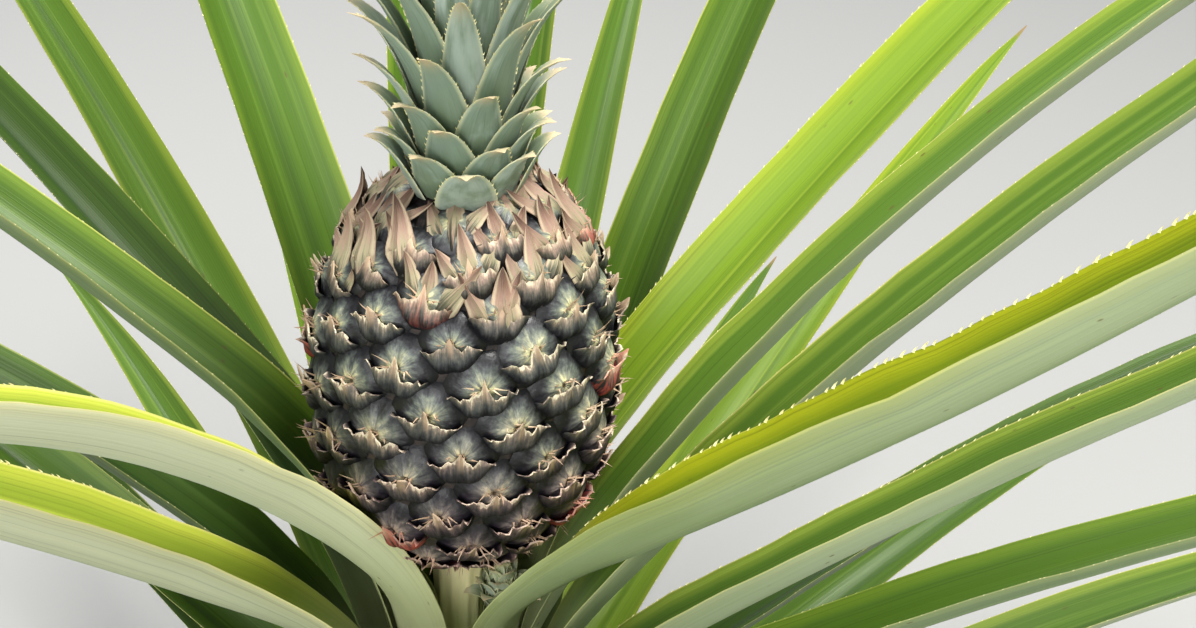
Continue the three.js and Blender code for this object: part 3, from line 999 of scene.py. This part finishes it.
def bractSkin():
    tints = eyeTints
    skin, net, coat = newSkin("eye_bract", Roughness=0.6, Specular_IOR_Level=0.3)
    u, v, blotch, chance, upper, papery = eyeWires(net)
    fibre = net.cloud((u * 16, v * 1.3, chance * 40), 3.0, 0.65)
    aside = (u - 0.5).size() * 2
    tint = (v + (fibre - 0.5) * 0.95 + (blotch - 0.5) * 0.4 + (chance - 0.5) * 0.15
            - aside.within(0.5, 1.0) * 0.08)
    ridge = (1 - aside.within(0.02, 0.14)) * v.within(0.45, 0.9)
    blush = chance.within(0.84, 0.92) * (fibre - 0.5).within(-0.1, 0.1)
    colour = net.paint(
        net.ramp(tint, *tints["bractLower"]),
        (upper, net.ramp(tint, *tints["bractUpper"])),
        (papery * 0.8, net.ramp(tint, *tints["bractTop"])),
        (ridge * 0.55, tints["ridge"]),
        (blush * 0.6, tints["blush"]))
    dressSkin(net, coat, colour, fibre + blotch * 0.4, 0.5, 0.0008)
    return skin


def longBractSkin():
    tints = eyeTints
    skin, net, coat = newSkin("crown_foot_bract", Roughness=0.6, Specular_IOR_Level=0.3)
    across, share, blotch, chance = eyeWires(net)[:4]
    streak = net.cloud((across * 20, share * 2.0, chance * 30), 4.0, 0.65)
    fromKeel = (across - 0.5).size() * 2
    colour = net.paint(
        net.ramp(share + (streak - 0.5) * 0.9 + (chance - 0.5) * 0.3, *tints["longBract"]),
        (fromKeel.within(0.55, 0.8) * 0.45, tints["paleSide"]),
        ((streak - 0.5).within(0.02, 0.16) * 0.5, tints["rosyStreak"]),
        ((0.5 - streak).within(0.04, 0.18) * 0.65, tints["darkStreak"]),
        ((fromKeel + (blotch - 0.5) * 0.3).within(0.86, 1.0) * 0.6, tints["brownEdge"]))
    dressSkin(net, coat, colour, streak + blotch * 0.4, 0.5, 0.0008)
    return skin


def shapeBox(name, meshes):
    # a collection of shapes for a tree to pick from
    box = bpy.data.collections.new(name)
    for number, mesh in enumerate(meshes):
        box.objects.link(bpy.data.objects.new(f"{name}_{number}", mesh))
    return box


def emptyBox(box):
    for shape in list(box.objects):
        bpy.data.objects.remove(shape)
    bpy.data.collections.remove(box)


def growFruit():
    look = fruitLook
    tree = eyeTree()
    dot = bpy.data.meshes.new("dot")
    dot.from_pydata([(0, 0, 0)], [], [])
    values = {
        "Eyes": look["eyes"], "Turn": goldenTurn, "First turn": look["firstTurn"], "Foot": fruitLow.z,
        "Height": fruitHigh.z - fruitLow.z, "Radius": fruitRadius - look["sink"],
        "Eye size": look["eyeSize"], "Seed": 4}
    # each kind with its shape, its skin and the share of the eyes from which and to which it stands
    kinds = {"eyes": (eyeShield, shieldSkin(), -1.0, 2.0),
             "eye_bracts": (eyeBract, bractSkin(), -1.0, 0.93),
             "crown_foot_bracts": (longBract, longBractSkin(), 0.76, 2.0)}
    pieces = []
    for name, (shape, skin, low, high) in kinds.items():
        box = shapeBox(name + "_shapes", [shape(seed, [skin]) for seed in range(look["shapes"])])
        piece = growByTree(name, dot, tree,
                           {**values, "Shapes": box, "Skin": skin, "From share": low, "To share": high})
        emptyBox(box)
        pieces.append(piece)
    pieces.append(growBarrel())
    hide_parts("fruit")
    print("fruit grown:", sum(len(piece.data.polygons) for piece in pieces), "faces")
    return pieces


def growBarrel():
    # the flesh between the eyes, its own dark brown made near black as painted shade in the crevices
    levels, sides, sunk = 40, 72, 0.0028
    rows = []
    for k in range(levels + 1):
        height, radius = barrel(k / levels)
        out = (radius * fruitRadius - sunk) * taperAt(height)
        rows.append(ringOf(onAxis(between(fruitLow.z, fruitHigh.z, height)), sides, lambda angle: out))
    growth = Growth()
    growth.addRound(rows)
    # near-black skin: painted shade in the crevices between the eyes
    skin = plainSkin("eye_grooves", (0.014, 0.010, 0.010), (0.035, 0.022, 0.018), 0.7, 260, 0.6, 0.001)
    piece = growth.piece("fruit_flesh", [skin])
    return piece


# The crown follows the solid's spiral, with more and finer blades. Pairs run from the lowest
# blade to the topmost one.
crownLook = {
    "blades": 84,
    "turn": math.radians(137.5),
    "height": 0.168,
    "rooted": 0.43,               # share of the height that the roots stand on
    "rootRadius": 0.01978,
    "thickness": 0.0017,
    "footRise": (64, 87),         # degrees above level at the root
    "endRise": (-12, 68),         # and at the point
    "halfWidth": (0.0126, 0.0082),
    "sharpness": (2.1, 1.4),
    "bending": (4.4, 1.3),        # how late a blade bends
    "length": (0.030, 0.114),
    "fold": (16, 26),
}
crownSpines = {
    "Spacing": 0.0032,
    "Spine length": 0.0017,
    "Forward lean": 0.8,
    "Seed": 90,
}
crownTints = {
    # The outer and inner ramps darken towards a blade's foot: painted shade among the crowded blade bases.
    "outer": [(0.0, 0.07, 0.10, 0.05), (0.3, 0.16, 0.22, 0.14), (0.6, 0.21, 0.28, 0.22),
              (1.0, 0.34, 0.40, 0.31)],
    "inner": [(0.0, 0.11, 0.17, 0.07), (0.4, 0.18, 0.26, 0.14), (0.8, 0.27, 0.35, 0.21),
              (1.0, 0.38, 0.42, 0.25)],
    # the bud's stops are raised to paint light into the bud, which lies in the fruit's shade
    "bud": [(0.0, 0.18, 0.22, 0.11), (0.5, 0.42, 0.49, 0.31), (1.0, 0.70, 0.72, 0.48)],
    "streak": (0.12, 0.17, 0.11),
    "bloom": (0.58, 0.67, 0.62),
    "margin": (0.66, 0.66, 0.42),
    "dryTip": (0.66, 0.50, 0.30),
}


def crownSkin(side, plant="crown", edge=0.6):
    # for the crown's blades and the bud's scales, edge telling how pale their margins are
    tints = crownTints
    skin, net, coat = newSkin(f"{plant}_{side}", Roughness=0.55, Specular_IOR_Level=0.35, Sheen_Weight=0.06)
    across, share = net.leafMap()
    chance, lowBlade = net.mark("bladeChance"), net.mark("lowBlade")
    fine = net.cloud((across * 26, share * 2.5, chance * 40))
    patch = net.cloud((across * 3, share * 4, chance * 40 + 9))
    fromKeel = (across - 0.5).size() * 2
    bloom = (patch - 0.5 + (chance - 0.5)).within(0.0, 0.4) * (1 - lowBlade * 0.6)
    tip = (share + (fine - 0.5) * 0.2).within(0.70, 0.98) * lowBlade
    # the ramp along the blade darkens its foot, painted shade among the blade bases
    colour = net.paint(
        net.ramp(share + (patch - 0.5) * 0.3, *tints["bud" if plant == "bud" else side]),
        ((fine - 0.5).within(0.0, 0.2) * 0.45, tints["streak"]),
        (bloom * 0.85, tints["bloom"]),
        (fromKeel.within(0.80, 1.0) * edge, tints["margin"]),
        (tip * 0.9, tints["dryTip"]))
    dressSkin(net, coat, colour, fine, 0.35, 0.0005)
    return skin


def growCrown():
    look = crownLook
    growth, margins = Growth(), []
    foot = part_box("crown")[0].z - 0.002
    for place in range(look["blades"]):
        age = place / (look["blades"] - 1)
        chance = random.Random(place + 500)
        out, side = waysAt(look["turn"] * place + chance.uniform(-0.12, 0.12))
        root = onAxis(foot + age**1.1 * look["height"] * look["rooted"])
        root += out * (look["rootRadius"] * (1 - age) ** 0.7 + 0.0005)
        footRise = between(*look["footRise"], age)
        endRise = between(*look["endRise"], age**1.25) + chance.uniform(-12, 10)
        width = between(*look["halfWidth"], age**0.8)
        sharp = between(*look["sharpness"], age)
        bending = between(*look["bending"], age**0.6)
        length = between(*look["length"], ease(age, 0.08, 0.7)) * chance.uniform(0.88, 1.08)
        count, tips = freeBlade(
            growth, root, out, side, length, lambda s: between(footRise, endRise, s**bending),
            lambda s: width * (1 - s**sharp), between(*look["fold"], age), look["thickness"], 10, 4)
        growth.mark("bladeChance", chance.random(), count)
        growth.mark("lowBlade", 1 - ease(age, 0.35, 0.75), count)
        for column in (0, 1):
            margins.append([(tip[column], tip[2 + column], ease(k, 0, 2) * (1 - ease(k, 9, 10)))
                            for k, tip in enumerate(tips)])
    piece = growth.piece("crown_blades", [crownSkin("outer"), crownSkin("inner")])
    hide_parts("crown")
    lines = marginLines({0: margins}, [0], (0.7, 0.7, 0.0))
    skin = plainSkin("crown_spine", (0.70, 0.66, 0.36), (0.60, 0.52, 0.24), 0.5, 300)
    spines = growByTree("crown_spines", lines, bpy.data.node_groups["margin spines"],
                        {**crownSpines, "Skin": skin})
    print("crown grown:", look["blades"], "blades")
    return [piece, spines]


budLook = {
    "scales": 30,
    "length": (0.0135, 0.0105),   # from the lowest scale to the topmost one
    "halfWidth": 0.0062,
    "thickness": 0.0008,
}


def growSlip():
    # a bud of closely wrapped scales, their tips curling over
    look = budLook
    low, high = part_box("slip")
    middle, wide, tall = (low + high) / 2, (high.x - low.x) / 2, (high.z - low.z) / 2
    growth = Growth()
    for place in range(look["scales"]):
        age = (place + 0.5) / look["scales"]
        level = between(-0.9, 0.9, age)
        out, side = waysAt(place * goldenTurn)
        root = middle + out * wide * 0.78 * math.sqrt(1 - level * level)
        root += upward * (tall * (level * 0.86 - 0.10))
        chance = random.Random(place + 900)
        lean = math.degrees(math.asin(level))
        length = between(*look["length"], age) * chance.uniform(0.9, 1.15)
        count, _ = freeBlade(growth, root, out, side, length,
                             lambda s: 98 + lean * 0.95 - 95 * s**2.2,
                             lambda s: look["halfWidth"] * (1 - s**3.2), 20, look["thickness"], 8, 3)
        growth.mark("bladeChance", chance.random(), count)
        growth.mark("lowBlade", 0.8, count)
    # the bud's skins carry painted light: their colours are raised against the fruit's shade
    piece = growth.piece("bud_scales", [crownSkin(side, "bud", 0.95) for side in ("outer", "inner")])
    rows, levels, sides = [], 14, 20
    for k in range(levels + 1):
        level = -math.cos(math.pi * k / levels)
        out = wide * 0.8 * math.sqrt(max(1 - level * level, 0.0004))
        rows.append(ringOf(middle + upward * (tall * 0.82 * level), sides, lambda angle: out))
    core = Growth()
    core.addRound(rows)
    skin = plainSkin("bud_dark", (0.06, 0.08, 0.04), (0.12, 0.14, 0.07), 0.6, 200)
    heart = core.piece("bud_heart", [skin])
    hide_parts("slip")
    print("bud grown")
    return [piece, heart]


def roundBody(name, low, high, levels, sides, radiusAt, skin):
    # a closed round body on the leaning axis
    growth = Growth()
    heights = [between(low, high, k / levels) for k in range(levels + 1)]
    growth.addRound([ringOf(onAxis(z), sides, lambda angle: radiusAt(z, angle)) for z in heights])
    return growth.piece(name, [skin])


def radiusProfile(nodeName):
    # the radius of a round solid at a height, read from its corners
    leastRadius = 0.004  # leaves out the middles of the two ends
    levels = {}
    for v in nodes[nodeName].data.vertices:
        out = (v.co - onAxis(v.co.z)).length
        if out > leastRadius:
            levels.setdefault(round(v.co.z, 4), []).append(out)
    heights = sorted(levels)
    sizes = [max(levels[z]) for z in heights]

    def at(z):
        k = min(max(bisect_right(heights, z) - 1, 0), len(heights) - 2)
        share = min(max((z - heights[k]) / (heights[k + 1] - heights[k]), 0), 1)
        return between(sizes[k], sizes[k + 1], share)

    return at


stemLook = {
    "scarStep": 0.0112,    # height from one leaf scar to the next
    "sunk": 0.0022,        # how far the bark lies inside the solid between its scars
    "scar": 0.0016,
    "fibre": 0.0009,
    "grain": 0.0006,
    "bark": [(0.25, 0.07, 0.045, 0.025), (0.5, 0.20, 0.135, 0.075), (0.75, 0.36, 0.27, 0.15)],
    "patch": (0.30, 0.28, 0.14),
}


def stemSkin():
    skin, net, coat = newSkin("stem_rind", Roughness=0.85, Specular_IOR_Level=0.2)
    place = net.objectPlace()
    x, y, z = net.split(place)
    fibre = net.cloud((x * 9, y * 9, z * 1.2), 4.0, 0.6, 60)
    patch = net.cloud(place, scale=45)
    colour = net.ramp(fibre, *stemLook["bark"])
    colour = net.blend((patch - 0.5).within(0.0, 0.2) * 0.6, colour, stemLook["patch"])
    dressSkin(net, coat, colour, fibre, 0.8, 0.002)
    return skin


def growStem():
    look = stemLook
    profile = radiusProfile("stem")
    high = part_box("stem")[1].z

    def radiusAt(z, angle):
        scar = bell((z / look["scarStep"] - angle / fullTurn) % 1 - 0.5, 0.16)
        fibre = noise.noise(Vector((math.cos(angle) * 9, math.sin(angle) * 9, z * 22)))
        grain = noise.noise(Vector((math.cos(angle) * 30, math.sin(angle) * 30, z * 60)))
        relief = look["scar"] * scar + look["fibre"] * fibre + look["grain"] * grain
        return profile(z) - look["sunk"] + relief

    piece = roundBody("stem_bark", 0.0, high, 210, 120, radiusAt, stemSkin())
    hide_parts("stem")
    print("stem grown")
    return piece


stalkLook = {
    "ridges": 11,
    "ridge": 0.0004,
    # cream at the top to green at the foot, its own colours raised nearly to white: painted light in the
    # fruit's shade
    "colours": [(0.0, 0.66, 0.76, 0.30), (0.4, 0.86, 0.84, 0.44), (0.75, 0.96, 0.85, 0.52),
                (1.0, 0.92, 0.68, 0.38)],
}


def stalkSkin(low, high):
    skin, net, coat = newSkin("stalk_rind", Specular_IOR_Level=0.35)
    x, y, z = net.split(net.objectPlace())
    streak = net.cloud((x * 9, y * 9, z), scale=40)
    risen = (z + (streak - 0.5) * 0.02 - low) / (high - low)
    dressSkin(net, coat, net.ramp(risen, *stalkLook["colours"]), streak, 0.4, 0.001)
    return skin


def growStalk():
    look = stalkLook
    profile = radiusProfile("fruit_stalk")
    low, high = (corner.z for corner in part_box("fruit_stalk"))

    def radiusAt(z, angle):
        wave = math.cos(angle * look["ridges"] + 3 * noise.noise(Vector((0, 0, z * 30))))
        return profile(z) - look["ridge"] + look["ridge"] * wave

    piece = roundBody("stalk", low, high, 24, 66, radiusAt, stalkSkin(low, high))
    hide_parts("fruit_stalk")
    return piece


clasperLook = {
    "rows": 21,
    "columns": 5,
    "thickness": 0.0014,
    "tipCut": 0.99,
}


def growStalkBracts():
    # the small leaves that clasp the stalk, from their solids, in the bright leaves' skins
    look = clasperLook
    skins = [bpy.data.materials[f"leaf_bright_{side}"] for side in ("outer", "inner")]
    pieces = []
    for name in sorted(node for node in nodes if node.startswith("bract_")):
        lines, length = leafLines([name])
        rows, shares = [], []
        for k in range(look["rows"]):
            share = k / (look["rows"] - 1) * look["tipCut"]
            left, keel, right, up = (line(share * length) for line in lines)
            thickness = look["thickness"] * min(1, (left - keel).length / 0.004 + 0.05)
            rows.append(bladeRow(keel, left, right, up.normalized(), thickness, look["columns"]))
            shares.append(share)
        growth = Growth()
        count = growth.addBlade(rows, shares)
        growth.mark("leafLength", length, count)
        growth.mark("leafChance", 0.3, count)
        piece = growth.piece("clasping_" + name, skins)
        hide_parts(name)
        pieces.append(piece)
    print("stalk and bracts grown")
    return pieces


stageLook = {
    "lens": 58.88,
    "eye": (0.0754, -0.6708, 0.8381),
    "lookDown": 30.0,
    "floor": (0.40, 0.40, 0.39),
    "sky": (0.95, 0.97, 1.0),
    "skyStrength": 0.5,
}
# Each lamp's size, power, place, aim and colour.
stageLamps = {
    "key": (0.8, 72, (0.75, -0.35, 2.3), (0, 0, 0.35), (1.0, 0.98, 0.94)),
    "rim": (1.4, 34, (-0.6, 1.6, 2.0), (0, 0, 0.4), (1, 1, 1)),
    "fill": (1.6, 44, (-0.9, -2.3, 1.35), (0, 0, 0.3), (1, 1, 1)),
    "bounce": (0.3, 2.2, (0.1, -1.1, 0.45), (0.02, 0, 0.25), (1, 1, 1)),
}


def setCamera():
    camera = newObject("view", bpy.data.cameras.new("view"))
    camera.data.lens = stageLook["lens"]
    camera.data.sensor_width = 36
    camera.data.clip_start = 0.02
    camera.location = stageLook["eye"]
    camera.rotation_euler = (math.radians(90 - stageLook["lookDown"]), 0, 0)
    scene.camera = camera


def setLight(name, size, power, place, aim, colour):
    lamp = newObject(name, bpy.data.lights.new(name, "AREA"))
    lamp.data.shape = "DISK"
    lamp.data.size = size
    lamp.data.energy = power
    lamp.data.color = colour
    lamp.location = place
    lamp.rotation_euler = (Vector(aim) - Vector(place)).to_track_quat("-Z", "Y").to_euler()
    lamp.visible_camera = False


def setStage():
    floor = bpy.data.meshes.new("floor")
    reach = 30
    corners = [(-reach, -reach, 0), (reach, -reach, 0), (reach, reach, 0), (-reach, reach, 0)]
    floor.from_pydata(corners, [], [(0, 1, 2, 3)])
    skin, net, coat = newSkin("floor", Roughness=0.9, Base_Color=stageLook["floor"])
    floor.materials.append(skin)
    ground = newObject("floor", floor)
    world = bpy.data.worlds.new("studio")
    world.use_nodes = True
    sky = world.node_tree.nodes["Background"]
    sky.inputs["Color"].default_value = (*stageLook["sky"], 1)
    sky.inputs["Strength"].default_value = stageLook["skyStrength"]
    scene.world = world
    for name, values in stageLamps.items():
        setLight(name, *values)
    scene.view_settings.view_transform = "Standard"
    print("stage set")


setCamera()
setStage()
leafPieces, leafMargins = growLeaves()
pieces = leafPieces + growSpines(leafMargins) + growFruit() + growCrown() + growSlip()
pieces += [growStem(), growStalk()] + growStalkBracts()
for piece in pieces:
    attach(piece, "root")

print("pieces:", len(pieces), "faces:", sum(len(piece.data.polygons) for piece in pieces))
